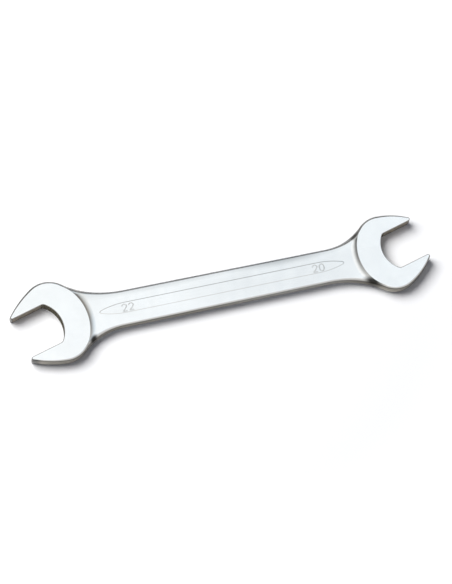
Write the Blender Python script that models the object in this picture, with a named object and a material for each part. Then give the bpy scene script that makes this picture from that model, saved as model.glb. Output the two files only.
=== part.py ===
"""Double open-ended wrench for 20 mm and 22 mm hexagons, drop forged in one piece.

X runs along the shank, with the large jaw at -X and the small jaw at +X. Both jaws are turned the
same way, so the plan is S-shaped. Both faces are alike: the half above the parting plane is built
as rings that follow the outline up the drafted wall and over its rounded edge, then mirrored.
"""
import math
from collections import namedtuple

import bmesh
import bpy
from mathutils import Matrix, Vector

for leftover in list(bpy.data.objects):
    bpy.data.objects.remove(leftover)

MM = 0.001

# Large head: opening across flats, outer width, web behind the throat, mouth depth from the
# throat to the jaw tips, and how far the throat lies behind the shank's end point
LARGE_JAW = 22.2 * MM
LARGE_WIDTH = 44.6 * MM
LARGE_WEB = 14.4 * MM
LARGE_DEPTH = 23.2 * MM
LARGE_THROAT_SETBACK = 2.06 * MM

# Small head
SMALL_JAW = 20.2 * MM
SMALL_WIDTH = 40.9 * MM
SMALL_WEB = 13.6 * MM
SMALL_DEPTH = 21.2 * MM
SMALL_THROAT_SETBACK = 0.95 * MM

# Both heads: thickness, tip radius, the turn of the jaws, and arcs as shares of a head's own
# width (back, shoulder and cheek) or opening (throat and the corners beside it)
HEAD_THICKNESS = 8.4 * MM
NOSE_RADIUS = 1.1 * MM
JAW_TURN = math.radians(15)
BACK_RADIUS_SHARE = 0.607
SHOULDER_RADIUS_SHARE = 0.324
CHEEK_RADIUS_SHARE = 1.3
THROAT_RADIUS_SHARE = 0.685
CORNER_RADIUS_SHARE = 0.1

# Shank: its length between the points where it meets the jaws' centrelines, its widths there,
# and the flares that run from its sides into the heads, tight on one side and long on the other
SHANK_LENGTH = 173.4 * MM
SHANK_THICKNESS = 6.0 * MM
SHANK_LARGE_END_WIDTH = 19.5 * MM
SHANK_SMALL_END_WIDTH = 17.9 * MM
LARGE_TIGHT_FLARE = 34.0 * MM
LARGE_LONG_FLARE = 56.0 * MM
SMALL_TIGHT_FLARE = 30.0 * MM
SMALL_LONG_FLARE = 50.0 * MM

# Edges: rounding of heads, jaws and shank, and of the flares' sides where the neck's fillet runs
# out over them, the walls' draft to both sides of the parting line, and the die's fillet and
# steepest slope where a head's face drops to the shank
HEAD_EDGE = 1.1 * MM
JAW_EDGE = 0.25 * MM
SHANK_EDGE = 1.4 * MM
RUNOUT_EDGE = 2.4 * MM
WALL_DRAFT = math.radians(6)
NECK_FILLET = 4.0 * MM
NECK_SLOPE = math.radians(66)
EDGE_LIMIT_SHARE = 0.8

# Raised panel along the shank: its pointed ends stop short of the shank's end points
PANEL_END_GAP = 22.0 * MM
PANEL_WIDTH = 6.0 * MM
PANEL_RISE = 0.3 * MM
PANEL_SLOPE_WIDTH = 0.35 * MM
PANEL_END_RADIUS = 43.0 * MM
PANEL_TIP_RADIUS = 1.0 * MM

# Fineness of the facets
FACET_TURN = math.radians(6)
EDGE_STEPS = 4
NECK_STEPS = 3
NECK_COLUMNS = 14
MERGE_DISTANCE = 0.01 * MM

Rim = namedtuple("Rim", "edge draft")
Head = namedtuple("Head", "jaw width web depth setback tight_flare long_flare end_width")
Arc = namedtuple("Arc", "centre radius start end hollow rims")
Station = namedtuple("Station", "point normal rim plateau")

MOUTH_RIM = Rim(JAW_EDGE, 0.0)
HEAD_RIM = Rim(HEAD_EDGE, math.tan(WALL_DRAFT) * (HEAD_THICKNESS / 2 - HEAD_EDGE))
SHANK_RIM = Rim(SHANK_EDGE, math.tan(WALL_DRAFT) * (SHANK_THICKNESS / 2 - SHANK_EDGE))

LARGE = Head(LARGE_JAW, LARGE_WIDTH, LARGE_WEB, LARGE_DEPTH, LARGE_THROAT_SETBACK,
             LARGE_TIGHT_FLARE, LARGE_LONG_FLARE, SHANK_LARGE_END_WIDTH)
SMALL = Head(SMALL_JAW, SMALL_WIDTH, SMALL_WEB, SMALL_DEPTH, SMALL_THROAT_SETBACK,
             SMALL_TIGHT_FLARE, SMALL_LONG_FLARE, SHANK_SMALL_END_WIDTH)


def direction(angle):
    return Vector((math.cos(angle), math.sin(angle)))


def angle_of(vector):
    return math.atan2(vector.y, vector.x)


def circles_meet(first, first_radius, second, second_radius):
    """The point at the given distances from two centres, on the right of the line between them."""
    across = second - first
    gap = across.length
    along = (first_radius**2 - second_radius**2 + gap**2) / (2 * gap)
    aside = math.sqrt(max(first_radius**2 - along**2, 0.0))
    return first + (along * across + aside * Vector((across.y, -across.x))) / gap


def rim_on(rim, radius):
    """A rim whose rounding is limited by the outer arc that it runs along."""
    return Rim(min(rim.edge, EDGE_LIMIT_SHARE * (radius - rim.draft)), rim.draft)


def half_head(head):
    """Arcs of a head's half from the throat round the jaw's tip to the back, throat at the origin."""
    half_jaw = head.jaw / 2
    half_width = head.width / 2
    back_radius = BACK_RADIUS_SHARE * head.width
    shoulder_radius = SHOULDER_RADIUS_SHARE * head.width
    cheek_radius = CHEEK_RADIUS_SHARE * head.width
    throat_radius = THROAT_RADIUS_SHARE * head.jaw
    corner_radius = CORNER_RADIUS_SHARE * head.jaw

    back = Vector((back_radius - head.web, 0.0))
    shoulder_rise = half_width - shoulder_radius
    shoulder_run = math.sqrt((back_radius - shoulder_radius) ** 2 - shoulder_rise**2)
    shoulder = back + Vector((-shoulder_run, shoulder_rise))
    nose = Vector((head.depth - NOSE_RADIUS, half_jaw + NOSE_RADIUS))
    cheek = circles_meet(shoulder, cheek_radius - shoulder_radius, nose, cheek_radius - NOSE_RADIUS)
    throat = Vector((throat_radius, 0.0))
    corner_rise = half_jaw - corner_radius
    corner_run = math.sqrt((throat_radius - corner_radius) ** 2 - corner_rise**2)
    corner = throat + Vector((-corner_run, corner_rise))

    throat_end = angle_of(corner - throat)
    nose_end = angle_of(nose - cheek)
    cheek_end = angle_of(shoulder - cheek)
    shoulder_end = angle_of(shoulder - back)
    inner = (MOUTH_RIM, MOUTH_RIM)
    outer = (HEAD_RIM, HEAD_RIM)
    tip_rim = rim_on(HEAD_RIM, NOSE_RADIUS)
    return [Arc(throat, throat_radius, math.pi, throat_end, True, inner),
            Arc(corner, corner_radius, throat_end, math.pi / 2, True, inner),
            Arc(nose, NOSE_RADIUS, -math.pi / 2, nose_end, False, (MOUTH_RIM, tip_rim)),
            Arc(cheek, cheek_radius, nose_end, cheek_end, False, (tip_rim, HEAD_RIM)),
            Arc(shoulder, shoulder_radius, cheek_end, shoulder_end, False, outer),
            Arc(back, back_radius, shoulder_end, math.pi, False, outer)]


def head_outline(head):
    """A head's whole outline, anticlockwise from its back, at the +X end of the shank."""
    half = half_head(head)
    other = [arc._replace(centre=Vector((arc.centre.x, -arc.centre.y)), start=-arc.end,
                          end=-arc.start, rims=arc.rims[::-1]) for arc in reversed(half)]
    turn = Matrix.Rotation(JAW_TURN, 2)
    shank_end = Vector((SHANK_LENGTH / 2, 0.0))
    setback = Vector((head.setback, 0.0))
    return [arc._replace(centre=shank_end + turn @ (arc.centre - setback),
                         start=arc.start + JAW_TURN, end=arc.end + JAW_TURN)
            for arc in other + half]


def beyond_span(arc, angle):
    """How far an angle lies outside an arc's span, and the same angle counted within that turn."""
    low = min(arc.start, arc.end)
    high = max(arc.start, arc.end)
    counted = (low + high) / 2 + math.remainder(angle - (low + high) / 2, 2 * math.pi)
    return max(low - counted, counted - high, 0.0), counted


def distance_outside(outline, point):
    """Distance from a point near the shank to the head's outer wall, positive outside the head."""
    best = None
    for arc in outline:
        if arc.hollow:
            continue
        offset = point - arc.centre
        beyond, _ = beyond_span(arc, angle_of(offset))
        distance = offset.length - arc.radius
        score = (beyond > 0.0, abs(distance))
        if best is None or score < best[0]:
            best = (score, distance)
    return best[1]


def flare(outline, radius, side, own_width, other_width):
    """The hollow arc that joins the head to one side of the shank, and the head's arc it touches."""
    run = Vector((SHANK_LENGTH, side * (own_width - other_width) / 2)).normalized()
    outward = side * Vector((-run.y, run.x))
    corner = Vector((SHANK_LENGTH / 2, side * own_width / 2)) + radius * outward
    choices = []
    for number, arc in enumerate(outline):
        if arc.hollow:
            continue
        reach = arc.radius + radius
        offset = corner - arc.centre
        along = offset.dot(run)
        room = along**2 - offset.length_squared + reach**2
        if room < 0.0:
            continue
        centre = corner - (along + math.sqrt(room)) * run
        beyond, touch = beyond_span(arc, angle_of(centre - arc.centre))
        choices.append((beyond, number, touch, centre))
    beyond, number, touch, centre = min(choices, key=lambda choice: (choice[0], abs(choice[3].x)))
    at_head = touch + math.pi
    at_shank = angle_of(-outward)
    at_shank = at_head + math.remainder(at_shank - at_head, 2 * math.pi)
    if side > 0:
        return Arc(centre, radius, at_head, at_shank, True, (HEAD_RIM, SHANK_RIM)), number, touch
    return Arc(centre, radius, at_shank, at_head, True, (SHANK_RIM, HEAD_RIM)), number, touch


def station(arc, angle, plateau):
    share = (angle - arc.start) / (arc.end - arc.start)
    rim = Rim(*(a + (b - a) * share for a, b in zip(*arc.rims)))
    ray = direction(angle)
    normal = -ray if arc.hollow else ray
    return Station(arc.centre + arc.radius * ray, normal, rim, plateau)


def arc_angles(arc):
    count = max(1, math.ceil(abs(arc.end - arc.start) / FACET_TURN))
    return [arc.start + (arc.end - arc.start) * step / count for step in range(count + 1)]


def inset(place, amount):
    return place.point - amount * place.normal


def neck_profile():
    """The drop from a head's face to the shank, as pairs of run and share of the drop left."""
    drop = (HEAD_THICKNESS - SHANK_THICKNESS) / 2
    radii = HEAD_EDGE + NECK_FILLET
    slope = min(math.acos(max(1 - drop / radii, 0.0)), NECK_SLOPE)
    flank = (drop - radii * (1 - math.cos(slope))) / math.sin(slope)
    total = radii * math.sin(slope) + flank * math.cos(slope)
    crown = [(HEAD_EDGE * math.sin(turn), drop - HEAD_EDGE * (1 - math.cos(turn)))
             for turn in (slope * step / NECK_STEPS for step in range(NECK_STEPS + 1))]
    root = [(total - NECK_FILLET * math.sin(turn), NECK_FILLET * (1 - math.cos(turn)))
            for turn in (slope * step / NECK_STEPS for step in range(NECK_STEPS, -1, -1))]
    pairs = crown + [pair for pair in root if pair[0] - crown[-1][0] > MERGE_DISTANCE]
    return [(run, height / drop) for run, height in pairs]


NECK_PROFILE = neck_profile()


def height_share(run):
    """Share of the step's height at a distance from the edge of a head's face."""
    if run <= 0.0:
        return 1.0
    for (near, high), (far, low) in zip(NECK_PROFILE, NECK_PROFILE[1:]):
        if run <= far:
            return high + (low - high) * (run - near) / (far - near)
    return 0.0


def eased(share):
    return share * share * (3 - 2 * share)


def flare_station(arc, head_angle, shank_angle, share):
    """A station on a flare, whose top edge is at its roundest where the neck's fillet runs out."""
    place = station(arc, head_angle + (shank_angle - head_angle) * share, False)
    roundest = min(RUNOUT_EDGE, EDGE_LIMIT_SHARE * SHANK_THICKNESS / 2)
    reach = NECK_PROFILE[-1][0]
    length = arc.radius * abs(shank_angle - head_angle)
    travelled = share * length
    if travelled < reach:
        edge = HEAD_EDGE + (roundest - HEAD_EDGE) * eased(travelled / reach)
    else:
        edge = SHANK_EDGE + (roundest - SHANK_EDGE) * eased((length - travelled) / (length - reach))
    return place._replace(rim=Rim(edge, place.rim.draft))


def flare_stations(arc, outline, from_head):
    """Stations along a flare: one for each line of the neck's profile, then even steps."""
    head_angle, shank_angle = (arc.start, arc.end) if from_head else (arc.end, arc.start)

    def run_at(share):
        place = flare_station(arc, head_angle, shank_angle, share)
        depth = place.rim.edge + place.rim.draft
        return distance_outside(outline, inset(place, depth)) + depth

    shares = [0.0]
    for run, _ in NECK_PROFILE[1:]:
        low, high = shares[-1], 1.0
        for _ in range(40):
            middle = (low + high) / 2
            low, high = (middle, high) if run_at(middle) < run else (low, middle)
        shares.append(high)
    rest = math.ceil(abs(shank_angle - head_angle) * (1 - shares[-1]) / FACET_TURN)
    shares += [shares[-1] + (1 - shares[-1]) * (step + 1) / rest for step in range(rest)]
    places = [flare_station(arc, head_angle, shank_angle, share) for share in shares]
    return places if from_head else places[::-1]


def end_stations(head, other):
    """Stations round one end of the wrench, anticlockwise from shank to shank, the head at +X."""
    outline = head_outline(head)
    entry, first, first_angle = flare(outline, head.long_flare, -1, head.end_width, other.end_width)
    leave, last, last_angle = flare(outline, head.tight_flare, 1, head.end_width, other.end_width)
    kept = outline[first:last + 1]
    kept[0] = kept[0]._replace(start=first_angle)
    kept[-1] = kept[-1]._replace(end=last_angle)
    places = flare_stations(entry, outline, False)
    entry_count = len(places)
    for arc in kept:
        for angle in arc_angles(arc):
            place = station(arc, angle, True)
            if (place.point - places[-1].point).length > MERGE_DISTANCE:
                places.append(place)
    places[entry_count - 1] = places[entry_count - 1]._replace(plateau=True)
    leaving = flare_stations(leave, outline, True)
    head_out = len(places) - 1
    places += leaving[1:]
    return places, outline, entry_count - 1, head_out


def section(rim):
    """Inset and fall of each ring, from the wall's top edge to the flat."""
    turns = [math.pi / 2 * step / EDGE_STEPS for step in range(EDGE_STEPS + 1)]
    return [(rim.draft + rim.edge * (1 - math.cos(turn)), rim.edge * (1 - math.sin(turn)))
            for turn in turns]


def ring_points(place, outline):
    """A station's points from the parting line up the drafted wall and over the rounded edge."""
    base = SHANK_THICKNESS / 2
    step = (HEAD_THICKNESS - SHANK_THICKNESS) / 2
    over = []
    for depth, fall in section(place.rim):
        spot = inset(place, depth)
        share = 1.0 if place.plateau else height_share(distance_outside(outline, spot) + depth)
        over.append(Vector((spot.x, spot.y, base + step * share - fall)))
    return [Vector((place.point.x, place.point.y, 0.0))] + over


def neck_rows(mesh, outline, near_verts, far_verts):
    """Rows of vertices across the neck, one for each line of the profile from face to shank."""
    rows = []
    base = SHANK_THICKNESS / 2
    step = (HEAD_THICKNESS - SHANK_THICKNESS) / 2
    for (run, share), near, far in zip(NECK_PROFILE, near_verts, far_verts):
        start = outline_place(outline, near.co.to_2d())
        end = outline_place(outline, far.co.to_2d())
        row = [near]
        for column in range(1, NECK_COLUMNS):
            part = column / NECK_COLUMNS
            spot = outline_point(outline, start[0] + (end[0] - start[0]) * part,
                                 start[1] + (end[1] - start[1]) * part)
            row.append(mesh.verts.new((spot.x, spot.y, base + step * share)))
        rows.append(row + [far])
    return rows


def back_arcs(outline):
    """The outer arcs behind the jaws, in order across the shank from its -Y side to its +Y side."""
    count = len(outline)
    order = [arc for arc in outline[count // 2:] if not arc.hollow][1:]
    lower = [arc for arc in outline[:count // 2] if not arc.hollow][:-1]
    return order, lower


def outline_place(outline, point):
    """Where a point lies along the back of a head: distance round from the middle, and outwards."""
    upper, lower = back_arcs(outline)
    best = None
    for arcs, sign in ((upper[::-1], 1), (lower, -1)):
        travelled = 0.0
        for arc in arcs:
            offset = point - arc.centre
            beyond, counted = beyond_span(arc, angle_of(offset))
            begin = arc.end if sign > 0 else arc.start
            swept = abs(counted - begin)
            score = (beyond > 0.0, abs(offset.length - arc.radius))
            if best is None or score < best[0]:
                best = (score, sign * (travelled + arc.radius * swept), offset.length - arc.radius)
            travelled += arc.radius * abs(arc.end - arc.start)
    return best[1], best[2]


def outline_point(outline, along, outwards):
    """The point at a distance round the back of a head from its middle, moved outwards."""
    upper, lower = back_arcs(outline)
    sign = 1 if along > 0.0 else -1
    left = abs(along)
    arcs = upper[::-1] if sign > 0 else lower
    for arc in arcs:
        length = arc.radius * abs(arc.end - arc.start)
        if left <= length or arc is arcs[-1]:
            begin = arc.end if sign > 0 else arc.start
            angle = begin - sign * left / arc.radius
            return arc.centre + (arc.radius + outwards) * direction(angle)
        left -= length
    return None


def panel_outline():
    """Anticlockwise outline of the panel: straight sides, long pointed ends and small round tips."""
    bow_rise = PANEL_END_RADIUS - PANEL_WIDTH / 2
    bow_run = math.sqrt((PANEL_END_RADIUS - PANEL_TIP_RADIUS) ** 2 - bow_rise**2)
    tip = SHANK_LENGTH / 2 - PANEL_END_GAP - PANEL_TIP_RADIUS
    bow = Vector((tip - bow_run, -bow_rise))
    meet = angle_of(Vector((tip, 0.0)) - bow)
    quarter = []
    for arc in (Arc(Vector((tip, 0.0)), PANEL_TIP_RADIUS, 0.0, meet, False, None),
                Arc(bow, PANEL_END_RADIUS, meet, math.pi / 2, False, None)):
        points = [arc.centre + arc.radius * direction(angle) for angle in arc_angles(arc)]
        quarter += points[1:] if quarter else points
    upper = quarter + [Vector((-point.x, point.y)) for point in reversed(quarter)]
    lower = [Vector((-point.x, -point.y)) for point in upper[1:-1]]
    return upper, lower


def build_half(mesh):
    """Faces of the half above the parting plane."""
    small, small_outline, small_in, small_out = end_stations(SMALL, LARGE)
    large, large_outline, large_in, large_out = end_stations(LARGE, SMALL)
    half_turn = Matrix.Rotation(math.pi, 3, "Z")

    columns = []
    for place in small:
        columns.append([mesh.verts.new(point) for point in ring_points(place, small_outline)])
    for place in large:
        columns.append([mesh.verts.new(half_turn @ point)
                        for point in ring_points(place, large_outline)])
    for column, following in zip(columns, columns[1:] + columns[:1]):
        for low, low_next, high, high_next in zip(column, following, column[1:], following[1:]):
            mesh.faces.new((low, low_next, high_next, high))

    flats = [column[-1] for column in columns]
    lines = len(NECK_PROFILE)
    edges = []
    for outline, start, head_in, head_out, turned in (
            (small_outline, 0, small_in, small_out, False),
            (large_outline, len(small), large_in, large_out, True)):
        head_in += start
        head_out += start
        near = [flats[head_in - line] for line in range(lines)]
        far = [flats[head_out + line] for line in range(lines)]
        if turned:
            for vert in near + far:
                vert.co = half_turn @ vert.co
        rows = neck_rows(mesh, outline, near, far)
        if turned:
            for vert in {vert for row in rows for vert in row}:
                vert.co = half_turn @ vert.co
        for row, next_row in zip(rows, rows[1:]):
            for corner in range(NECK_COLUMNS):
                mesh.faces.new((row[corner], row[corner + 1],
                                next_row[corner + 1], next_row[corner]))
        mesh.faces.new(flats[head_in:head_out + 1] + rows[0][-2:0:-1])
        edges.append((head_in - lines + 1, head_out + lines - 1, rows[-1]))

    upper, lower = panel_outline()
    level = SHANK_THICKNESS / 2
    upper_verts = [mesh.verts.new((point.x, point.y, level)) for point in upper]
    lower_verts = [mesh.verts.new((point.x, point.y, level)) for point in lower]
    (small_start, small_end, small_row), (large_start, large_end, large_row) = edges
    middle = NECK_COLUMNS // 2
    top_side = flats[small_end + 1:large_start]
    bottom_side = flats[large_end + 1:] + flats[:small_start]
    mesh.faces.new(small_row[middle:] + top_side + large_row[:middle + 1] + upper_verts[::-1])
    mesh.faces.new(large_row[middle:] + bottom_side + small_row[:middle + 1]
                   + [upper_verts[0]] + lower_verts[::-1] + [upper_verts[-1]])
    panel = mesh.faces.new(upper_verts + lower_verts)
    mesh.normal_update()
    bmesh.ops.inset_region(mesh, faces=[panel], thickness=PANEL_SLOPE_WIDTH, depth=PANEL_RISE,
                           use_even_offset=True)


def chrome_plated_steel():
    material = bpy.data.materials.new("chrome_plated_steel")
    material.use_nodes = True
    shader = material.node_tree.nodes["Principled BSDF"]
    shader.inputs["Base Color"].default_value = (0.80, 0.81, 0.82, 1.0)
    shader.inputs["Metallic"].default_value = 1.0
    shader.inputs["Roughness"].default_value = 0.22
    return material


def wrench_forging():
    """The whole forging, resting on its lower faces with its outline centred on the origin."""
    data = bpy.data.meshes.new("wrench_forging")
    mesh = bmesh.new()
    build_half(mesh)
    xs = [vert.co.x for vert in mesh.verts]
    ys = [vert.co.y for vert in mesh.verts]
    mesh.to_mesh(data)
    mesh.free()
    data.materials.append(chrome_plated_steel())
    data.shade_smooth()
    data.set_sharp_from_angle(angle=math.radians(40))
    forging = bpy.data.objects.new("wrench_forging", data)
    forging.location = (-(min(xs) + max(xs)) / 2, -(min(ys) + max(ys)) / 2, HEAD_THICKNESS / 2)
    bpy.context.scene.collection.objects.link(forging)
    mirror = forging.modifiers.new("lower_half", "MIRROR")
    mirror.use_axis = (False, False, True)
    mirror.use_clip = True
    mirror.merge_threshold = MERGE_DISTANCE
    shading = forging.modifiers.new("flat_faces_shade_flat", "WEIGHTED_NORMAL")
    shading.keep_sharp = True
    return forging


wrench_forging()
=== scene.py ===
"""Double open-ended wrench for 20 mm and 22 mm hexagons, lying on a white table top."""
import math
from collections import namedtuple

import bmesh
import bpy
from mathutils import Matrix, Vector


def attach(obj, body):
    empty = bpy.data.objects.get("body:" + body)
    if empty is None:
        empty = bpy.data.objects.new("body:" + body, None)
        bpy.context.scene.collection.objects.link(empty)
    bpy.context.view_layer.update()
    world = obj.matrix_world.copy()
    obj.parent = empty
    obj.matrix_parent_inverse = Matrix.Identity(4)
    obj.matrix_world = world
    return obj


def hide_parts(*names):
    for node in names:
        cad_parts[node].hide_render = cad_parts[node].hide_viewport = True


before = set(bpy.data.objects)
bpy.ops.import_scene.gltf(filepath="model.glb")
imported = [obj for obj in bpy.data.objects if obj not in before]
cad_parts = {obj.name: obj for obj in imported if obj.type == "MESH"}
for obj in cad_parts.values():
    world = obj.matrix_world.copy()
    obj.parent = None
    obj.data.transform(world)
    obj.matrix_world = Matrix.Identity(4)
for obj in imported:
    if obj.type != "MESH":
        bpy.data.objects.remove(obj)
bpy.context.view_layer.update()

# The forging
# One bar of chrome-vanadium steel, drop forged between two alike dies that meet at the middle of
# its thickness. The jaws are then broached, and the whole wrench is polished and chrome plated.

MM = 0.001

Rim = namedtuple("Rim", "edge draft")
Head = namedtuple("Head", "jaw width web depth setback tight_flare long_flare end_width "
                          "back shoulder cheek throat corner")
Arc = namedtuple("Arc", "centre radius start end hollow rims")
Station = namedtuple("Station", "point normal rim plateau")

# Each head: the gap between its jaws, its width, the steel behind the throat, how deep the mouth
# is and how far the throat sits back from the shank's end, then the flares into the shank and the
# shank's width there, and last the radii round its outline
LARGE = Head(jaw=22.2 * MM, width=44.3 * MM, web=14.4 * MM, depth=23.2 * MM, setback=2.06 * MM,
             tight_flare=34.0 * MM, long_flare=56.0 * MM, end_width=19.5 * MM,
             back=27.07 * MM, shoulder=14.45 * MM, cheek=57.98 * MM,
             throat=15.21 * MM, corner=2.22 * MM)
SMALL = Head(jaw=20.2 * MM, width=41.2 * MM, web=13.6 * MM, depth=21.2 * MM, setback=0.95 * MM,
             tight_flare=30.0 * MM, long_flare=50.0 * MM, end_width=17.9 * MM,
             back=24.83 * MM, shoulder=13.25 * MM, cheek=40.0 * MM,
             throat=13.84 * MM, corner=2.02 * MM)
HEAD_THICKNESS = 8.4 * MM
SHANK_THICKNESS = 6.0 * MM
SHANK_LENGTH = 173.4 * MM
JAW_TURN = math.radians(15)
NOSE_RADIUS = 1.1 * MM

# The neck is where a head's back drops to the shank through a fillet. Its line swells toward the
# shank, squarer for a higher power, and where it runs out down the sides the flares' own edge is
# at its roundest.
NECK_FILLET = 6.5 * MM
NECK_SWELL = 0.8 * MM
NECK_SWELL_POWER = 4
NECK_SLOPE = math.radians(66)
RUNOUT_EDGE = 2.4 * MM

# A rim is the rounding of an edge and how far the wall below it leans in, by the dies' draft
WALL_DRAFT = math.radians(6)
HEAD_EDGE = 1.3 * MM
SHANK_EDGE = 1.5 * MM
MOUTH_RIM = Rim(0.4 * MM, 0.0)
HEAD_RIM = Rim(HEAD_EDGE, math.tan(WALL_DRAFT) * (HEAD_THICKNESS / 2 - HEAD_EDGE))
SHANK_RIM = Rim(SHANK_EDGE, math.tan(WALL_DRAFT) * (SHANK_THICKNESS / 2 - SHANK_EDGE))
NOSE_EDGE_SHARE = 0.8
NOSE_RIM = Rim(NOSE_EDGE_SHARE * (NOSE_RADIUS - HEAD_RIM.draft), HEAD_RIM.draft)

# How finely the curves are drawn, where the rings on the walls lie as shares of their height, and
# how many halvings a search along a flare takes. The dies leave a soft ridge along the middle of
# the walls, whose width is a share of their height too.
FACET_TURN = math.radians(2)
EDGE_STEPS = 8
NECK_STEPS = 7
NECK_COLUMNS = 48
WALL_RING_SHARES = (0.0, 0.05, 0.12, 0.22, 0.5, 0.8)
RIDGE_SHARE = 0.12
MERGE_DISTANCE = 0.001 * MM
HALVINGS = 40


def direction(angle):
    return Vector((math.cos(angle), math.sin(angle)))


def angle_of(vector):
    return math.atan2(vector.y, vector.x)


def circles_meet(first, first_radius, second, second_radius):
    """Where two circles cross, to the right of the way from the first centre to the second."""
    across = second - first
    gap = across.length
    along = (first_radius**2 - second_radius**2 + gap**2) / (2 * gap)
    aside = math.sqrt(max(first_radius**2 - along**2, 0.0))
    return first + (along * across + aside * Vector((across.y, -across.x))) / gap


def half_head(head):
    """Arcs of half a head, from the throat round the jaw's tip to the back, throat at the origin."""
    half_jaw = head.jaw / 2
    back = Vector((head.back - head.web, 0.0))
    rise = head.width / 2 - head.shoulder
    shoulder = back + Vector((-math.sqrt((head.back - head.shoulder) ** 2 - rise**2), rise))
    nose = Vector((head.depth - NOSE_RADIUS, half_jaw + NOSE_RADIUS))
    cheek = circles_meet(shoulder, head.cheek - head.shoulder, nose, head.cheek - NOSE_RADIUS)
    throat = Vector((head.throat, 0.0))
    rise = half_jaw - head.corner
    corner = throat + Vector((-math.sqrt((head.throat - head.corner) ** 2 - rise**2), rise))
    inner = [math.pi, angle_of(corner - throat), math.pi / 2]
    outer = [-math.pi / 2, angle_of(nose - cheek), angle_of(shoulder - cheek),
             angle_of(shoulder - back), math.pi]
    return [Arc(throat, head.throat, inner[0], inner[1], True, (MOUTH_RIM, MOUTH_RIM)),
            Arc(corner, head.corner, inner[1], inner[2], True, (MOUTH_RIM, MOUTH_RIM)),
            Arc(nose, NOSE_RADIUS, outer[0], outer[1], False, (MOUTH_RIM, NOSE_RIM)),
            Arc(cheek, head.cheek, outer[1], outer[2], False, (NOSE_RIM, HEAD_RIM)),
            Arc(shoulder, head.shoulder, outer[2], outer[3], False, (HEAD_RIM, HEAD_RIM)),
            Arc(back, head.back, outer[3], outer[4], False, (HEAD_RIM, HEAD_RIM))]


def head_outline(head):
    """A head's whole outline, anticlockwise from its back, at the +X end of the shank."""
    half = half_head(head)
    other = [arc._replace(centre=Vector((arc.centre.x, -arc.centre.y)), start=-arc.end,
                          end=-arc.start, rims=arc.rims[::-1]) for arc in reversed(half)]
    turn = Matrix.Rotation(JAW_TURN, 2)
    origin = Vector((SHANK_LENGTH / 2, 0.0)) - turn @ Vector((head.setback, 0.0))
    return [arc._replace(centre=origin + turn @ arc.centre, start=arc.start + JAW_TURN,
                         end=arc.end + JAW_TURN) for arc in other + half]


def beyond_span(arc, angle):
    """How far an angle lies beyond an arc's ends, and the angle counted as the arc counts."""
    low = min(arc.start, arc.end)
    high = max(arc.start, arc.end)
    counted = (low + high) / 2 + math.remainder(angle - (low + high) / 2, 2 * math.pi)
    return max(low - counted, counted - high, 0.0), counted


def distance_outside(outline, point):
    """How far a point lies outside a head, measured from the nearest of its round stretches."""
    best = None
    for arc in outline:
        if arc.hollow:
            continue
        offset = point - arc.centre
        beyond, _ = beyond_span(arc, angle_of(offset))
        distance = offset.length - arc.radius
        score = (beyond > 0.0, abs(distance))
        if best is None or score < best[0]:
            best = (score, distance)
    return best[1]


def flare(outline, radius, side, own_width, other_width):
    """The hollow arc from a side of the shank into the head, and where it touches the head."""
    run = Vector((SHANK_LENGTH, side * (own_width - other_width) / 2)).normalized()
    outward = side * Vector((-run.y, run.x))
    corner = Vector((SHANK_LENGTH / 2, side * own_width / 2)) + radius * outward
    choices = []
    for number, arc in enumerate(outline):
        if arc.hollow:
            continue
        offset = corner - arc.centre
        along = offset.dot(run)
        room = along**2 - offset.length_squared + (arc.radius + radius) ** 2
        if room < 0.0:
            continue
        centre = corner - (along + math.sqrt(room)) * run
        beyond, touch = beyond_span(arc, angle_of(centre - arc.centre))
        choices.append((beyond, number, touch, centre))
    _, number, touch, centre = min(choices, key=lambda choice: (choice[0], abs(choice[3].x)))
    at_head = touch + math.pi
    at_shank = at_head + math.remainder(angle_of(-outward) - at_head, 2 * math.pi)
    if side > 0:
        return Arc(centre, radius, at_head, at_shank, True, (HEAD_RIM, SHANK_RIM)), number, touch
    return Arc(centre, radius, at_shank, at_head, True, (SHANK_RIM, HEAD_RIM)), number, touch


def station(arc, angle, plateau):
    """A place on the outline. On a plateau the edge reaches the head's full thickness."""
    share = (angle - arc.start) / (arc.end - arc.start)
    rim = Rim(*(a + (b - a) * share for a, b in zip(*arc.rims)))
    ray = direction(angle)
    normal = -ray if arc.hollow else ray
    return Station(arc.centre + arc.radius * ray, normal, rim, plateau)


def arc_angles(arc):
    """Even angles from an arc's start to its end, no farther apart than a facet turns."""
    count = max(3, math.ceil(abs(arc.end - arc.start) / FACET_TURN))
    return [arc.start + (arc.end - arc.start) * step / count for step in range(count + 1)]


def inset(place, amount):
    """The point so far inside the outline from a station."""
    return place.point - amount * place.normal


def neck_profile():
    """The drop from a head's face to the shank, as pairs of run and share of the drop left."""
    drop = (HEAD_THICKNESS - SHANK_THICKNESS) / 2
    radii = HEAD_RIM.edge + NECK_FILLET
    slope = min(math.acos(max(1 - drop / radii, 0.0)), NECK_SLOPE)
    flank = (drop - radii * (1 - math.cos(slope))) / math.sin(slope)
    total = radii * math.sin(slope) + flank * math.cos(slope)
    turns = [slope * step / NECK_STEPS for step in range(NECK_STEPS + 1)]
    crown = [(HEAD_RIM.edge * math.sin(turn), drop - HEAD_RIM.edge * (1 - math.cos(turn)))
             for turn in turns]
    root = [(total - NECK_FILLET * math.sin(turn), NECK_FILLET * (1 - math.cos(turn)))
            for turn in reversed(turns)]
    pairs = crown + [pair for pair in root if pair[0] - crown[-1][0] > MERGE_DISTANCE]
    return [(run, height / drop) for run, height in pairs]


NECK_PROFILE = neck_profile()


def height_share(run):
    """The share of the neck's drop that is left so far out from where it begins."""
    if run <= 0.0:
        return 1.0
    for (near, high), (far, low) in zip(NECK_PROFILE, NECK_PROFILE[1:]):
        if run <= far:
            return high + (low - high) * (run - near) / (far - near)
    return 0.0


def eased(share):
    """The same share, but starting and stopping gently."""
    return share * share * (3 - 2 * share)


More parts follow.
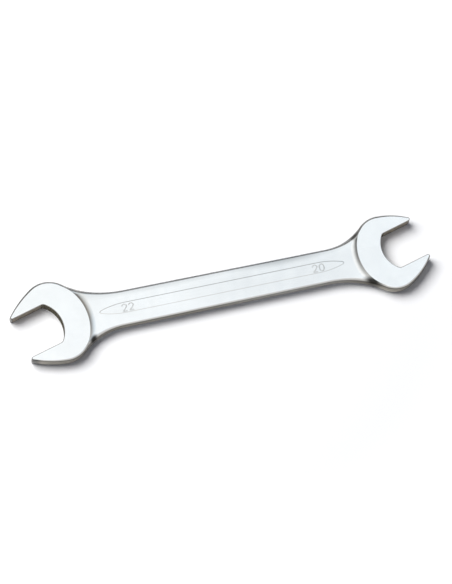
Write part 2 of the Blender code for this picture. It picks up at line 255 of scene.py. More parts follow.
def flare_station(arc, head_angle, shank_angle, share):
    """A station on a flare, whose top edge is at its roundest where the neck's fillet runs out."""
    place = station(arc, head_angle + (shank_angle - head_angle) * share, False)
    reach = NECK_PROFILE[-1][0]
    length = arc.radius * abs(shank_angle - head_angle)
    travelled = share * length
    if travelled < reach:
        edge = HEAD_EDGE + (RUNOUT_EDGE - HEAD_EDGE) * eased(travelled / reach)
    else:
        left = (length - travelled) / (length - reach)
        edge = SHANK_EDGE + (RUNOUT_EDGE - SHANK_EDGE) * eased(left)
    return place._replace(rim=Rim(edge, place.rim.draft))


def flare_stations(arc, outline, from_head):
    """Stations along a flare: one for each line of the neck's profile, then even steps."""
    head_angle, shank_angle = (arc.start, arc.end) if from_head else (arc.end, arc.start)

    def run_at(share):
        place = flare_station(arc, head_angle, shank_angle, share)
        depth = place.rim.edge + place.rim.draft
        return distance_outside(outline, inset(place, depth)) + depth

    shares = [0.0]
    for run, _ in NECK_PROFILE[1:]:
        low, high = shares[-1], 1.0
        for _ in range(HALVINGS):
            middle = (low + high) / 2
            low, high = (middle, high) if run_at(middle) < run else (low, middle)
        shares.append(high)
    rest = math.ceil(abs(shank_angle - head_angle) * (1 - shares[-1]) / FACET_TURN)
    shares += [shares[-1] + (1 - shares[-1]) * (step + 1) / rest for step in range(rest)]
    places = [flare_station(arc, head_angle, shank_angle, share) for share in shares]
    return places if from_head else places[::-1]


def end_stations(head, other):
    """Stations round one end of the wrench, anticlockwise from shank to shank, the head at +X."""
    outline = head_outline(head)
    entry, first, first_angle = flare(outline, head.long_flare, -1, head.end_width, other.end_width)
    leave, last, last_angle = flare(outline, head.tight_flare, 1, head.end_width, other.end_width)
    kept = outline[first:last + 1]
    kept[0] = kept[0]._replace(start=first_angle)
    kept[-1] = kept[-1]._replace(end=last_angle)
    places = flare_stations(entry, outline, False)
    head_in = len(places) - 1
    for arc in kept:
        for angle in arc_angles(arc):
            place = station(arc, angle, True)
            if (place.point - places[-1].point).length > MERGE_DISTANCE:
                places.append(place)
    places[head_in] = places[head_in]._replace(plateau=True)
    head_out = len(places) - 1
    places += flare_stations(leave, outline, True)[1:]
    return places, outline, head_in, head_out


def ring_points(place, outline):
    """A station's points from the parting line up the swelling wall and over the rounded edge."""
    base = SHANK_THICKNESS / 2
    step = (HEAD_THICKNESS - SHANK_THICKNESS) / 2
    over = []
    for number in range(EDGE_STEPS + 1):
        turn = math.pi / 2 * number / EDGE_STEPS
        depth = place.rim.draft + place.rim.edge * (1 - math.cos(turn))
        fall = place.rim.edge * (1 - math.sin(turn))
        spot = inset(place, depth)
        share = 1.0 if place.plateau else height_share(distance_outside(outline, spot) + depth)
        over.append(Vector((spot.x, spot.y, base + step * share - fall)))
    wall = []
    for part in WALL_RING_SHARES:
        spot = inset(place, place.rim.draft * (math.hypot(part, RIDGE_SHARE) - RIDGE_SHARE)
                     / (math.hypot(1.0, RIDGE_SHARE) - RIDGE_SHARE))
        wall.append(Vector((spot.x, spot.y, over[0].z * part)))
    return wall + over


def back_arcs(outline):
    """The round stretches of a head's back, above and below the point farthest from its mouth."""
    count = len(outline)
    upper = [arc for arc in outline[count // 2:] if not arc.hollow][1:]
    lower = [arc for arc in outline[:count // 2] if not arc.hollow][:-1]
    return upper[::-1], lower


def outline_place(outline, point):
    """How far along a head's back a point lies from its middle, and how far outside it."""
    upper, lower = back_arcs(outline)
    best = None
    for arcs, sign in ((upper, 1), (lower, -1)):
        travelled = 0.0
        for arc in arcs:
            offset = point - arc.centre
            beyond, counted = beyond_span(arc, angle_of(offset))
            begin = arc.end if sign > 0 else arc.start
            score = (beyond > 0.0, abs(offset.length - arc.radius))
            if best is None or score < best[0]:
                best = (score, sign * (travelled + arc.radius * abs(counted - begin)),
                        offset.length - arc.radius)
            travelled += arc.radius * abs(arc.end - arc.start)
    return best[1], best[2]


def outline_point(outline, along, outwards):
    """The point that lies so far along a head's back and so far outside it."""
    upper, lower = back_arcs(outline)
    sign = 1 if along > 0.0 else -1
    left = abs(along)
    arcs = upper if sign > 0 else lower
    for arc in arcs:
        length = arc.radius * abs(arc.end - arc.start)
        if left <= length or arc is arcs[-1]:
            break
        left -= length
    begin = arc.end if sign > 0 else arc.start
    return arc.centre + (arc.radius + outwards) * direction(begin - sign * left / arc.radius)


def neck_rows(mesh, outline, near_verts, far_verts):
    """Rows of vertices across the neck, one for each line of its profile."""
    rows = []
    base = SHANK_THICKNESS / 2
    step = (HEAD_THICKNESS - SHANK_THICKNESS) / 2
    for (_, share), near, far in zip(NECK_PROFILE, near_verts, far_verts):
        start = outline_place(outline, near.co.to_2d())
        end = outline_place(outline, far.co.to_2d())
        row = [near]
        for column in range(1, NECK_COLUMNS):
            part = column / NECK_COLUMNS
            swell = NECK_SWELL * (1 - (2 * part - 1) ** NECK_SWELL_POWER)
            spot = outline_point(outline, start[0] + (end[0] - start[0]) * part,
                                 start[1] + (end[1] - start[1]) * part + swell)
            row.append(mesh.verts.new((spot.x, spot.y, base + step * share)))
        rows.append(row + [far])
    return rows


# The finish of each face: the plating all over, but for the mouths' walls. A wall that is longer
# than the least flat is one of the two that a jaw grips with, and the others make the throat.
PLATED = 0
BROACHED = 1
DARKER_THROAT = 2
LEAST_FLAT = 3 * NOSE_RADIUS


def add_walls(mesh, columns, places):
    """The walls and rounded edges, between each column of vertices and the next."""
    square = [place.rim.draft == 0.0 for place in places]
    for number, column in enumerate(columns):
        after = (number + 1) % len(columns)
        following = columns[after]
        for ring, corners in enumerate(zip(column, following, following[1:], column[1:])):
            face = mesh.faces.new(corners)
            face.material_index = PLATED
            if square[number] and square[after] and ring < len(WALL_RING_SHARES):
                across = (following[0].co - column[0].co).length
                face.material_index = BROACHED if across > LEAST_FLAT else DARKER_THROAT


def add_head_face(mesh, outline, flats, head_in, head_out, half_turn):
    """A head's flat face and the neck behind it. Gives where the neck ends and its last row."""
    lines = len(NECK_PROFILE)
    near = [flats[head_in - line] for line in range(lines)]
    far = [flats[head_out + line] for line in range(lines)]
    # The outline is at the +X end, so the neck of a head at the other end is worked out there
    if half_turn is not None:
        for vert in near + far:
            vert.co = half_turn @ vert.co
    rows = neck_rows(mesh, outline, near, far)
    if half_turn is not None:
        for vert in {vert for row in rows for vert in row}:
            vert.co = half_turn @ vert.co
    for row, next_row in zip(rows, rows[1:]):
        for corner in range(NECK_COLUMNS):
            mesh.faces.new((row[corner], row[corner + 1], next_row[corner + 1], next_row[corner]))
    mesh.faces.new(flats[head_in:head_out + 1] + rows[0][-2:0:-1])
    return head_in - lines + 1, head_out + lines - 1, rows[-1]


# The raised panel along the shank, with a long bow at each end that runs to a small round tip. Its
# slope rises softly: shares of the slope's width, each with its share of the rise.
PANEL_END_GAP = 22.0 * MM
PANEL_WIDTH = 6.0 * MM
PANEL_RISE = 0.13 * MM
PANEL_SLOPE_WIDTH = 0.6 * MM
PANEL_SLOPE_SHARES = ((0.0, 0.0), (0.15, 0.06), (0.3, 0.22), (0.5, 0.5), (0.7, 0.78), (0.85, 0.94),
                      (1.0, 1.0))
PANEL_END_RADIUS = 43.0 * MM
PANEL_TIP_RADIUS = 1.0 * MM
PANEL_STEPS = 14


def panel_outline():
    """The points of the panel's foot along its upper side, and those between them on its lower."""
    bow_rise = PANEL_END_RADIUS - PANEL_WIDTH / 2
    bow_run = math.sqrt((PANEL_END_RADIUS - PANEL_TIP_RADIUS) ** 2 - bow_rise**2)
    reach = SHANK_LENGTH / 2 - PANEL_END_GAP - PANEL_TIP_RADIUS
    tip = Vector((reach, 0.0))
    bow = Vector((reach - bow_run, -bow_rise))
    meet = angle_of(tip - bow)
    quarter = []
    for centre, radius, start, end in ((tip, PANEL_TIP_RADIUS, 0.0, meet),
                                       (bow, PANEL_END_RADIUS, meet, math.pi / 2)):
        points = [centre + radius * direction(start + (end - start) * step / PANEL_STEPS)
                  for step in range(PANEL_STEPS + 1)]
        quarter += points[1:] if quarter else points
    upper = quarter + [Vector((-point.x, point.y)) for point in reversed(quarter)]
    lower = [Vector((-point.x, -point.y)) for point in upper[1:-1]]
    return upper, lower


def add_shank_face(mesh, flats, small_neck, large_neck):
    """The shank's flat face in two parts round the panel, and the panel with its slope."""
    upper, lower = panel_outline()
    level = SHANK_THICKNESS / 2
    upper_verts = [mesh.verts.new((point.x, point.y, level)) for point in upper]
    lower_verts = [mesh.verts.new((point.x, point.y, level)) for point in lower]
    small_start, small_end, small_row = small_neck
    large_start, large_end, large_row = large_neck
    middle = NECK_COLUMNS // 2
    top_side = flats[small_end + 1:large_start]
    bottom_side = flats[large_end + 1:] + flats[:small_start]
    mesh.faces.new(small_row[middle:] + top_side + large_row[:middle + 1] + upper_verts[::-1])
    mesh.faces.new(large_row[middle:] + bottom_side + small_row[:middle + 1]
                   + [upper_verts[0]] + lower_verts[::-1] + [upper_verts[-1]])
    panel = mesh.faces.new(upper_verts + lower_verts)
    mesh.normal_update()
    for start, end in zip(PANEL_SLOPE_SHARES, PANEL_SLOPE_SHARES[1:]):
        bmesh.ops.inset_region(mesh, faces=[panel], use_even_offset=True,
                               thickness=(end[0] - start[0]) * PANEL_SLOPE_WIDTH,
                               depth=(end[1] - start[1]) * PANEL_RISE)


def build_half(mesh):
    """The upper half of the wrench, open along the parting line at the middle of its thickness."""
    small, small_outline, small_in, small_out = end_stations(SMALL, LARGE)
    large, large_outline, large_in, large_out = end_stations(LARGE, SMALL)
    half_turn = Matrix.Rotation(math.pi, 3, "Z")
    columns = [[mesh.verts.new(point) for point in ring_points(place, small_outline)]
               for place in small]
    columns += [[mesh.verts.new(half_turn @ point) for point in ring_points(place, large_outline)]
                for place in large]
    add_walls(mesh, columns, small + large)
    flats = [column[-1] for column in columns]
    small_neck = add_head_face(mesh, small_outline, flats, small_in, small_out, None)
    large_neck = add_head_face(mesh, large_outline, flats, len(small) + large_in,
                               len(small) + large_out, half_turn)
    add_shank_face(mesh, flats, small_neck, large_neck)


half = bmesh.new()
build_half(half)
xs = [vert.co.x for vert in half.verts]
ys = [vert.co.y for vert in half.verts]
shift = Vector((-(min(xs) + max(xs)) / 2, -(min(ys) + max(ys)) / 2, HEAD_THICKNESS / 2))
bmesh.ops.mirror(half, geom=half.verts[:] + half.edges[:] + half.faces[:], axis="Z",
                 merge_dist=MERGE_DISTANCE)
bmesh.ops.translate(half, vec=shift, verts=half.verts)
bmesh.ops.recalc_face_normals(half, faces=half.faces)
forging_mesh = bpy.data.meshes.new("wrench")
half.to_mesh(forging_mesh)
half.free()
forging_mesh.shade_smooth()
wrench = bpy.data.objects.new("wrench", forging_mesh)
bpy.context.scene.collection.objects.link(wrench)

# The jaw sizes are struck into both sides of the panel with round-nosed punches, each number
# beside its own jaw. Strokes that cross are cut by two tools, so that no tool meets itself.
NUMBER_PLACES = (("22", -49.2 * MM), ("20", 51.5 * MM))
DIGIT_HEIGHT = 3.7 * MM
DIGIT_WIDTH = 2.45 * MM
DIGIT_PITCH = 3.55 * MM
PUNCH_RADIUS = 0.3 * MM
PUNCH_DEPTH = 0.13 * MM
PANEL_FACE = HEAD_THICKNESS / 2 + SHANK_THICKNESS / 2 + PANEL_RISE

# Strokes of each digit: knots as shares of its width and height, then how far their handles reach
DIGIT_STROKE_SHARES = {
    "2": (((0.02, 0.74, 0.0, 0.14), (0.5, 1.0, 0.26, 0.0), (0.98, 0.72, 0.0, -0.13),
           (0.66, 0.38, -0.14, -0.13), (0.04, 0.02, -0.1, -0.06)),
          ((0.0, 0.0, 0.1, 0.0), (1.0, 0.0, 0.1, 0.0))),
    "0": (((0.0, 0.5, 0.0, 0.3), (0.5, 1.0, 0.27, 0.0), (1.0, 0.5, 0.0, -0.3),
           (0.5, 0.0, -0.27, 0.0)),),
}


def punch_stroke(punch, knots, closed, left, height, facing):
    """A tube along one stroke of a digit, which cuts a round-bottomed groove into the panel."""
    spline = punch.splines.new("BEZIER")
    spline.bezier_points.add(len(knots) - 1)
    spline.use_cyclic_u = closed
    for knot, (across, rise, reach, climb) in zip(spline.bezier_points, knots):
        spot = Vector((left + facing * across * DIGIT_WIDTH, (rise - 0.5) * DIGIT_HEIGHT, height))
        handle = Vector((facing * reach * DIGIT_WIDTH, climb * DIGIT_HEIGHT, 0.0))
        knot.co = spot
        knot.handle_left = spot - handle
        knot.handle_right = spot + handle


punches = []
for name in ("first_strokes", "second_strokes"):
    punch = bpy.data.curves.new(name, "CURVE")
    punch.dimensions = "3D"
    punch.bevel_depth = PUNCH_RADIUS
    punch.bevel_resolution = 3
    punch.use_fill_caps = True
    punch.resolution_u = 8
    punches.append(punch)
for number, middle in NUMBER_PLACES:
    for facing, height in ((1, PANEL_FACE + PUNCH_RADIUS - PUNCH_DEPTH),
                           (-1, HEAD_THICKNESS - PANEL_FACE - PUNCH_RADIUS + PUNCH_DEPTH)):
        for place, digit in enumerate(number):
            left = middle + facing * ((place - 0.5) * DIGIT_PITCH - DIGIT_WIDTH / 2)
            for punch, knots in zip(punches, DIGIT_STROKE_SHARES[digit]):
                punch_stroke(punch, knots, digit == "0", left, height, facing)
tools = []
for punch in punches:
    curve = bpy.data.objects.new("punch", punch)
    bpy.context.scene.collection.objects.link(curve)
    solid = bpy.data.meshes.new_from_object(
        curve.evaluated_get(bpy.context.evaluated_depsgraph_get()))
    cutter = bpy.data.objects.new("cutter", solid)
    bpy.context.scene.collection.objects.link(cutter)
    tools += [curve, cutter]
    cut = wrench.modifiers.new("strike", "BOOLEAN")
    cut.operation = "DIFFERENCE"
    cut.solver = "EXACT"
    cut.object = cutter
struck = bpy.data.meshes.new_from_object(
    wrench.evaluated_get(bpy.context.evaluated_depsgraph_get()))
wrench.modifiers.clear()
wrench.data = struck
for tool in tools:
    bpy.data.objects.remove(tool)

# Edges that turn by more than this shade as sharp, as the rims of the struck grooves do
SHARP_ANGLE = math.radians(35)
struck.set_sharp_from_angle(angle=SHARP_ANGLE)
shading = wrench.modifiers.new("flat_faces_shade_flat", "WEIGHTED_NORMAL")
shading.keep_sharp = True


def linear(code):
    """An sRGB hex colour as linear values."""
    parts = [int(code[place:place + 2], 16) / 255 for place in (0, 2, 4)]
    return [part / 12.92 if part <= 0.04045 else ((part + 0.055) / 1.055) ** 2.4
            for part in parts] + [1.0]


def node(tree, kind, sockets=None, **settings):
    """Adds a node with its settings, and gives each named socket a value or a link."""
    added = tree.nodes.new(kind)
    for name, value in settings.items():
        setattr(added, name, value)
    for name, value in (sockets or {}).items():
        if isinstance(value, bpy.types.NodeSocket):
            tree.links.new(value, added.inputs[name])
        else:
            added.inputs[name].default_value = value
    return added


# Satin chrome plating. The flat faces are ground on a belt before plating, so they mirror the room
# softly and carry fine lines along the wrench. The rounded edges and the walls carry painted
# reflection by how steeply they face: darker and a little warmer as a painted dark reflection, and
# paler again along the walls' middle ridge as a painted light one. The colours below run from an
# upright surface at 0 to a level one at 1.
PLATING_AND_PAINTED_REFLECTION_TONES = ((0.08, "B8B2A6"), (0.1, "8A8478"), (0.2, "66625A"), (0.45, "5E5C56"),
              (0.65, "696764"), (0.74, "B2B1B0"), (0.86, "CED0D0"), (0.94, "D8DADB"),
              (0.985, "E8EAEC"), (1.0, "F0F2F4"))

# Faint clouds over the whole surface: the mm from one to the next, the share of its brightness that
# the surface keeps under the darkest, and the levels of noise where they are darkest and gone
CLOUD_SIZE = 11.0
CLOUD_BRIGHTNESS_SHARE = 0.955
CLOUD_LEVELS = (0.35, 0.65)


def clouded_tones(tree, here, in_mm):
    """The plating's colour, with painted reflection by how level the surface lies, dimmed a little
    by the clouds.
    """
    facing = node(tree, "ShaderNodeSeparateXYZ", {0: here.outputs["Normal"]})
    level = node(tree, "ShaderNodeMath", {0: facing.outputs["Z"]}, operation="ABSOLUTE")
    tone = node(tree, "ShaderNodeValToRGB", {"Fac": level.outputs[0]})
    stops = tone.color_ramp.elements
    for number, (position, code) in enumerate(PLATING_AND_PAINTED_REFLECTION_TONES):
        stop = stops[number] if number < len(stops) else stops.new(position)
        stop.position = position
        stop.color = linear(code)
    clouds = node(tree, "ShaderNodeTexNoise", {"Vector": in_mm.outputs[0],
                                               "Scale": 1 / CLOUD_SIZE, "Detail": 3.0,
                                               "Roughness": 0.55})
    haze = node(tree, "ShaderNodeMapRange", {"Value": clouds.outputs[0],
                                             "From Min": CLOUD_LEVELS[0],
                                             "From Max": CLOUD_LEVELS[1],
                                             "To Min": CLOUD_BRIGHTNESS_SHARE, "To Max": 1.0})
    dimmed = node(tree, "ShaderNodeVectorMath", {0: tone.outputs["Color"],
                                                 "Scale": haze.outputs[0]}, operation="SCALE")
    return dimmed.outputs[0]


# Soft oval marks on everything below the heads' faces. The black ones in the corners under the
# heads' edges are painted shade, the dark jaw tips and +Y sides of the heads are painted dark
# reflection, and the paler patch on the 22 mm head's neck is painted light reflection. Grey bands
# lie along the shank's +Y side, with a faint grey over its middle. A mark's centre, half length and
# half width are in mm and its turn in degrees. Its core is at full strength, and it fades out
# between the two depths in mm below the heads' faces.
Mark = namedtuple("Mark", "colour strength x y half_length half_width turn")
MARKS = (Mark("1C1B18", 0.95, 77.6, -12.6, 6.4, 2.6, -33),
         Mark("1C1B18", 0.95, -69.9, -12.9, 3.8, 2.2, 50),
         Mark("3A3832", 0.7, 73.4, 12.6, 3.4, 2.2, 40),
         Mark("E4DDD4", 0.85, -71.0, 6.0, 11.0, 3.6, 105),
         Mark("A2A5A8", 0.8, 35.0, 10.6, 39.0, 6.5, 0),
         Mark("BEC2C6", 0.2, 32.0, 0.0, 60.0, 18.0, 0),
         Mark("24221E", 0.95, -108.2, 5.9, 3.0, 2.4, 60),
         Mark("24221E", 0.95, -101.6, -17.2, 5.0, 2.4, -10),
         Mark("24221E", 0.95, 103.9, 16.2, 2.6, 2.4, 0),
         Mark("24221E", 0.95, 108.3, -5.8, 3.4, 2.4, 60),
         Mark("A2A5A8", 0.4, -27.0, 11.0, 70.0, 6.0, 0),
         Mark("3A3832", 0.6, -99.5, 16.5, 16.0, 5.0, 40),
         Mark("3A3832", 0.45, 95.0, 19.0, 14.0, 4.0, -8))
MARK_CORE_SHARE = 0.25
MARK_FADE_DEPTHS = (0.2, 0.01)
ANY_HEIGHT = 1000.0


def with_marks(tree, in_mm, colour):
    """The given colour with the marks of painted shade, painted reflection and grey laid over it,
    except on the heads' faces.
    """
    where = node(tree, "ShaderNodeSeparateXYZ", {0: in_mm.outputs[0]})
    middle = HEAD_THICKNESS / 2 / MM
    above = node(tree, "ShaderNodeMath", {0: where.outputs["Z"], 1: middle}, operation="SUBTRACT")
    off_middle = node(tree, "ShaderNodeMath", {0: above.outputs[0]}, operation="ABSOLUTE")
    below_face = node(tree, "ShaderNodeMapRange", {"Value": off_middle.outputs[0],
                                                   "From Min": middle - MARK_FADE_DEPTHS[0],
                                                   "From Max": middle - MARK_FADE_DEPTHS[1],
                                                   "To Min": 1.0, "To Max": 0.0})
    for mark in MARKS:
        oval = node(tree, "ShaderNodeMapping", {"Vector": in_mm.outputs[0],
                                                "Location": (mark.x, mark.y, 0.0),
                                                "Rotation": (0.0, 0.0, math.radians(mark.turn)),
                                                "Scale": (mark.half_length, mark.half_width,
                                                          ANY_HEIGHT)},
                    vector_type="TEXTURE")
        away = node(tree, "ShaderNodeVectorMath", {0: oval.outputs[0]}, operation="LENGTH")
        spot = node(tree, "ShaderNodeMapRange", {"Value": away.outputs["Value"],
                                                 "From Min": MARK_CORE_SHARE,
                                                 "To Min": mark.strength, "To Max": 0.0},
                    interpolation_type="SMOOTHSTEP")
        covered = node(tree, "ShaderNodeMath", {0: spot.outputs[0], 1: below_face.outputs[0]},
                       operation="MULTIPLY")
        marked = node(tree, "ShaderNodeMix", {"Factor": covered.outputs[0], "A": colour,
                                              "B": linear(mark.colour)}, data_type="RGBA")
        colour = marked.outputs["Result"]
    return colour


# Belt lines are far finer than a pixel, so they are drawn 0.3 mm apart and 14 mm long to show. The
# ripples are what hand polishing leaves. Sizes and depths are in mm, and the roughness runs between
# its two values as the lines' noise runs between its two levels.
BELT_LINE_SPACING = 0.3
BELT_LINE_LENGTH = 14.0
BELT_LINE_DEPTH = 0.004
BELT_LINE_LEVELS = (0.3, 0.7)
SATIN_ROUGHNESS = (0.2, 0.27)
RIPPLE_SIZE = 6.0
RIPPLE_DEPTH = 0.05


def grind_and_polish(tree, shader, in_mm):
    """Gives the plating its roughness and its relief, from the belt lines and the ripples."""
    stretched = node(tree, "ShaderNodeVectorMath", {0: in_mm.outputs[0],
                                                    1: (1 / BELT_LINE_LENGTH,
                                                        1 / BELT_LINE_SPACING,
                                                        1 / BELT_LINE_SPACING)},
                     operation="MULTIPLY")
    lines = node(tree, "ShaderNodeTexNoise", {"Vector": stretched.outputs[0], "Scale": 1.0,
                                              "Detail": 2.0})
    satin = node(tree, "ShaderNodeMapRange", {"Value": lines.outputs[0],
                                              "From Min": BELT_LINE_LEVELS[0],
                                              "From Max": BELT_LINE_LEVELS[1],
                                              "To Min": SATIN_ROUGHNESS[0],
                                              "To Max": SATIN_ROUGHNESS[1]})
    tree.links.new(satin.outputs[0], shader.inputs["Roughness"])
    ripples = node(tree, "ShaderNodeTexNoise", {"Vector": in_mm.outputs[0],
                                                "Scale": 1 / RIPPLE_SIZE, "Detail": 1.0})
    wave = node(tree, "ShaderNodeBump", {"Strength": 1.0, "Distance": RIPPLE_DEPTH * MM,
                                         "Height": ripples.outputs[0]})
    scratch = node(tree, "ShaderNodeBump", {"Strength": 1.0, "Distance": BELT_LINE_DEPTH * MM,
                                            "Height": lines.outputs[0],
                                            "Normal": wave.outputs[0]})
    tree.links.new(scratch.outputs[0], shader.inputs["Normal"])


plating = bpy.data.materials.new("satin_chrome_plating")
plating.use_nodes = True
tree = plating.node_tree
shader = tree.nodes["Principled BSDF"]
shader.inputs["Metallic"].default_value = 1.0
here = node(tree, "ShaderNodeTexCoord")
in_mm = node(tree, "ShaderNodeVectorMath", {0: here.outputs["Object"], "Scale": 1 / MM},
             operation="SCALE")
colour = with_marks(tree, in_mm, clouded_tones(tree, here, in_mm))
tree.links.new(colour, shader.inputs["Base Color"])
grind_and_polish(tree, shader, in_mm)

# The mouths' walls. The two flats of each jaw are broached square and keep fine lines through the
# thickness, which leaves them a matt grey. The throat between them is drawn darker, with greys of
# its own. The lines are drawn 0.45 mm apart, several times too coarse, to show at all.
CUT_LINE_SPACING = 0.45
CUT_LINE_LENGTH = 20.0
CUT_LINE_DEPTH = 0.004
CUT_ROUGHNESS = (0.5, 0.6)

# The greys of each finish: its darkest, its lightest and the one toward a grazing angle
BROACHED_GREYS = ("9C958B", "B4ADA3", "8E8A83")
THROAT_GREYS = ("6E6A5F", "8A867B", "5C5A52")


def mouth_steel(name, low, high, grazing):
    """Steel with fine lines along Z between two colours, less bright at a grazing angle."""
    steel = bpy.data.materials.new(name)
    steel.use_nodes = True
    tree = steel.node_tree
    shader = tree.nodes["Principled BSDF"]
    shader.inputs["Metallic"].default_value = 1.0
    shader.inputs["Specular Tint"].default_value = linear(grazing)
    here = node(tree, "ShaderNodeTexCoord")
    stretched = node(tree, "ShaderNodeVectorMath", {0: here.outputs["Object"],
                                                    1: (1 / CUT_LINE_SPACING / MM,
                                                        1 / CUT_LINE_SPACING / MM,
                                                        1 / CUT_LINE_LENGTH / MM)},
                     operation="MULTIPLY")
    cuts = node(tree, "ShaderNodeTexNoise", {"Vector": stretched.outputs[0], "Scale": 1.0,
                                             "Detail": 2.0})
    colour = node(tree, "ShaderNodeMix", {"Factor": cuts.outputs[0], "A": linear(low),
                                          "B": linear(high)}, data_type="RGBA")
    tree.links.new(colour.outputs["Result"], shader.inputs["Base Color"])
    matt = node(tree, "ShaderNodeMapRange", {"Value": cuts.outputs[0],
                                             "To Min": CUT_ROUGHNESS[0],
                                             "To Max": CUT_ROUGHNESS[1]})
    tree.links.new(matt.outputs[0], shader.inputs["Roughness"])
    chatter = node(tree, "ShaderNodeBump", {"Strength": 1.0, "Distance": CUT_LINE_DEPTH * MM,
                                            "Height": cuts.outputs[0]})
    tree.links.new(chatter.outputs[0], shader.inputs["Normal"])
    return steel


# In the order of PLATED, BROACHED and DARKER_THROAT
wrench.data.materials.append(plating)
wrench.data.materials.append(mouth_steel("broached_steel", *BROACHED_GREYS))
wrench.data.materials.append(mouth_steel("dark_throat", *THROAT_GREYS))
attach(wrench, "root")
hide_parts("wrench_forging")

# The floor
# A smooth white table top, level under the wrench and wider than any view of it. It keeps the
# wrench's soft shadow, and farther out it glows for the camera and for mirrors, so that it is drawn
# pure white there.

FLOOR_RADIUS = 12.0
FLOOR_SIDES = 96

# How much light the table top reflects, a pure grey level that needs no hex colour. The glow's
# reaches are metres from the middle of the wrench, and near it the glow has only this strength.
FLOOR_REFLECTANCE = 0.9
GLOW_BEGINS = 0.1
GLOW_IS_FULL = 0.3
GLOW_AT_WRENCH = 0.05


def white_table_top():
    """Matt white lacquer, which gives the eye a bare surface with nothing on it but a shadow."""
    white = bpy.data.materials.new("white_table_top")
    white.use_nodes = True
    tree = white.node_tree
    tree.nodes.clear()
    diffuse = node(tree, "ShaderNodeBsdfDiffuse", {"Color": (FLOOR_REFLECTANCE,) * 3 + (1.0,)})
    path = node(tree, "ShaderNodeLightPath")
    mirrored = node(tree, "ShaderNodeMath", {0: path.outputs["Is Camera Ray"],
                                             1: path.outputs["Is Glossy Ray"]},
                    operation="MAXIMUM")
    seen = node(tree, "ShaderNodeMath", {0: mirrored.outputs[0],
                                         1: path.outputs["Is Transmission Ray"]},
                operation="MAXIMUM")
    geometry = node(tree, "ShaderNodeNewGeometry")
    away = node(tree, "ShaderNodeVectorMath", {0: geometry.outputs["Position"]},
                operation="LENGTH")
    ramp = node(tree, "ShaderNodeMapRange", {"Value": away.outputs["Value"],
                                             "From Min": GLOW_BEGINS, "From Max": GLOW_IS_FULL,
                                             "To Min": GLOW_AT_WRENCH, "To Max": 1.0},
                interpolation_type="SMOOTHSTEP")
    power = node(tree, "ShaderNodeMath", {0: seen.outputs[0], 1: ramp.outputs[0]},
                 operation="MULTIPLY")
    glow = node(tree, "ShaderNodeEmission", {"Strength": power.outputs[0]})
    both = node(tree, "ShaderNodeAddShader", {0: diffuse.outputs[0], 1: glow.outputs[0]})
    node(tree, "ShaderNodeOutputMaterial", {"Surface": both.outputs[0]})
    return white


floor_mesh = bpy.data.meshes.new("floor")
disc = bmesh.new()
bmesh.ops.create_circle(disc, cap_ends=True, segments=FLOOR_SIDES, radius=FLOOR_RADIUS)
disc.to_mesh(floor_mesh)
disc.free()
floor = bpy.data.objects.new("floor", floor_mesh)
bpy.context.scene.collection.objects.link(floor)
floor.data.materials.append(white_table_top())

# The lamp
# One soft square lamp, up and to the left in the picture, casts the shadow toward the lower right.
# Mirrors don't show it, because what the plating mirrors is the room that follows. Its side and
# its distance are in metres.

LAMP_SIDE = 1.15
LAMP_RADIANCE = 10.9
LAMP_DISTANCE = 1.8
LAMP_AZIMUTH = math.radians(136)
LAMP_ELEVATION = math.radians(57)

lamp = bpy.data.lights.new("shadow_lamp", "AREA")
lamp.shape = "RECTANGLE"
lamp.size = LAMP_SIDE
lamp.size_y = LAMP_SIDE
lamp.energy = LAMP_RADIANCE * math.pi * LAMP_SIDE * LAMP_SIDE
shadow_lamp = bpy.data.objects.new("shadow_lamp", lamp)
away = Vector((math.cos(LAMP_AZIMUTH) * math.cos(LAMP_ELEVATION),
               math.sin(LAMP_AZIMUTH) * math.cos(LAMP_ELEVATION), math.sin(LAMP_ELEVATION)))
shadow_lamp.location = LAMP_DISTANCE * away
shadow_lamp.rotation_euler = away.to_track_quat("Z", "Y").to_euler()
shadow_lamp.visible_glossy = False
bpy.context.scene.collection.objects.link(shadow_lamp)

# The room
# A bright ceiling, slightly cooler toward +X, over walls that are pale on the -Y side and dim on
# the +Y side, which draws the wrench's edges on that side dark. Matt surfaces get only a weak even
# light from it. The colours are linear light, since some are brighter than white.

CEILING_WARM = (1.25, 1.25, 1.22, 1.0)
CEILING_COOL = (0.925, 1.0, 1.05, 1.0)
WALL_PALE = (0.92, 0.9, 0.87, 1.0)
WALL_DIM = (0.26, 0.257, 0.25, 1.0)
EVEN_LIGHT = (0.084, 0.091, 0.118, 1.0)

# The direction of the ceiling's middle. The ranges say how far a direction points along +X while
# the ceiling turns cool, along +Y while the walls turn dim, and along the ceiling's middle while
# the walls give way to it.
CEILING_MIDDLE = (0.123, 0.228, 0.966)
CEILING_COOLS = (0.02, 0.24)
WALLS_DIM = (-0.7, 0.6)
CEILING_BEGINS = (0.75, 0.995)

world = bpy.data.worlds.new("room")
bpy.context.scene.world = world
world.use_nodes = True
tree = world.node_tree
sky = node(tree, "ShaderNodeTexCoord")
ray = sky.outputs["Generated"]
aim = node(tree, "ShaderNodeSeparateXYZ", {0: ray})
cool = node(tree, "ShaderNodeMapRange", {"Value": aim.outputs["X"],
                                         "From Min": CEILING_COOLS[0],
                                         "From Max": CEILING_COOLS[1]},
            interpolation_type="SMOOTHSTEP")
ceiling = node(tree, "ShaderNodeMix", {"Factor": cool.outputs[0], "A": CEILING_WARM,
                                       "B": CEILING_COOL}, data_type="RGBA")
level = node(tree, "ShaderNodeVectorMath", {0: ray, 1: (1.0, 1.0, 0.0)}, operation="MULTIPLY")
heading = node(tree, "ShaderNodeVectorMath", {0: level.outputs[0]}, operation="NORMALIZE")
facing = node(tree, "ShaderNodeVectorMath", {0: heading.outputs[0], 1: (0.0, 1.0, 0.0)},
              operation="DOT_PRODUCT")
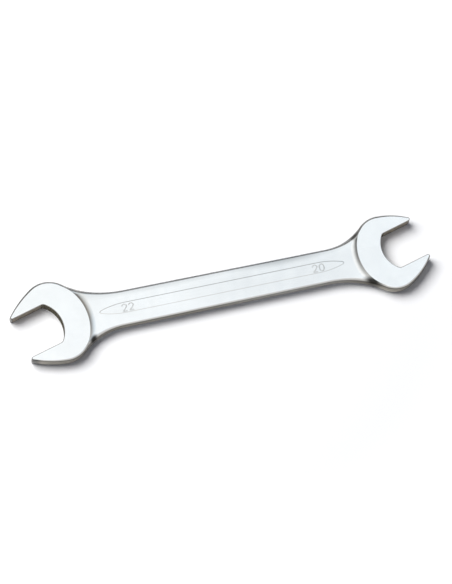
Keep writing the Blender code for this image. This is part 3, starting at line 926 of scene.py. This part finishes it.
dim = node(tree, "ShaderNodeMapRange", {"Value": facing.outputs["Value"],
                                        "From Min": WALLS_DIM[0], "From Max": WALLS_DIM[1]},
           interpolation_type="SMOOTHSTEP")
walls = node(tree, "ShaderNodeMix", {"Factor": dim.outputs[0], "A": WALL_PALE, "B": WALL_DIM},
             data_type="RGBA")
overhead = node(tree, "ShaderNodeVectorMath", {0: ray, 1: CEILING_MIDDLE},
                operation="DOT_PRODUCT")
climb = node(tree, "ShaderNodeMapRange", {"Value": overhead.outputs["Value"],
                                          "From Min": CEILING_BEGINS[0],
                                          "From Max": CEILING_BEGINS[1]},
             interpolation_type="SMOOTHSTEP")
room = node(tree, "ShaderNodeMix", {"Factor": climb.outputs[0], "A": walls.outputs["Result"],
                                    "B": ceiling.outputs["Result"]}, data_type="RGBA")
path = node(tree, "ShaderNodeLightPath")
mirrored = node(tree, "ShaderNodeMath", {0: path.outputs["Is Glossy Ray"],
                                         1: path.outputs["Is Camera Ray"]}, operation="MAXIMUM")
light = node(tree, "ShaderNodeMix", {"Factor": mirrored.outputs[0], "A": EVEN_LIGHT,
                                     "B": room.outputs["Result"]}, data_type="RGBA")
background = tree.nodes["Background"]
background.inputs["Strength"].default_value = 1.0
tree.links.new(light.outputs["Result"], background.inputs["Color"])

# The camera
# A long lens looks down at 75 degrees from the -X -Y side and is rolled, so that the wrench climbs
# to the right as in the photograph. The seen point, on the plane of the heads' upper faces, lands
# on the seen pixel, which is counted from the picture's upper left corner.

PICTURE_WIDTH = 452
PICTURE_HEIGHT = 584
PIXELS_PER_MM = 1.947
SEEN_POINT = Vector((-5.240, -0.032, 8.4)) * MM
SEEN_PIXEL = (211.4, 289.45)
CAMERA_DISTANCE = 2.5
CAMERA_TILT = math.radians(15)
CAMERA_AZIMUTH = math.radians(241.6)
CAMERA_ROLL = math.radians(16)
SENSOR_HEIGHT = 36

towards = Vector((math.cos(CAMERA_AZIMUTH) * math.sin(CAMERA_TILT),
                  math.sin(CAMERA_AZIMUTH) * math.sin(CAMERA_TILT), math.cos(CAMERA_TILT)))
across = Vector((-math.sin(CAMERA_AZIMUTH), math.cos(CAMERA_AZIMUTH), 0.0))
upward = towards.cross(across)
right = math.cos(CAMERA_ROLL) * across + math.sin(CAMERA_ROLL) * upward
up = -math.sin(CAMERA_ROLL) * across + math.cos(CAMERA_ROLL) * upward
centre = SEEN_POINT + ((PICTURE_WIDTH / 2 - SEEN_PIXEL[0]) * right
                       + (SEEN_PIXEL[1] - PICTURE_HEIGHT / 2) * up) * MM / PIXELS_PER_MM
lens = bpy.data.cameras.new("camera")
lens.sensor_fit = "VERTICAL"
lens.sensor_height = SENSOR_HEIGHT
lens.lens = PIXELS_PER_MM / MM * SENSOR_HEIGHT / PICTURE_HEIGHT * CAMERA_DISTANCE
lens.clip_end = 50
camera = bpy.data.objects.new("camera", lens)
camera.matrix_world = Matrix((right, up, towards)).transposed().to_4x4()
camera.location = centre + CAMERA_DISTANCE * towards
bpy.context.scene.collection.objects.link(camera)
bpy.context.scene.camera = camera
bpy.context.scene.view_settings.view_transform = "Standard"
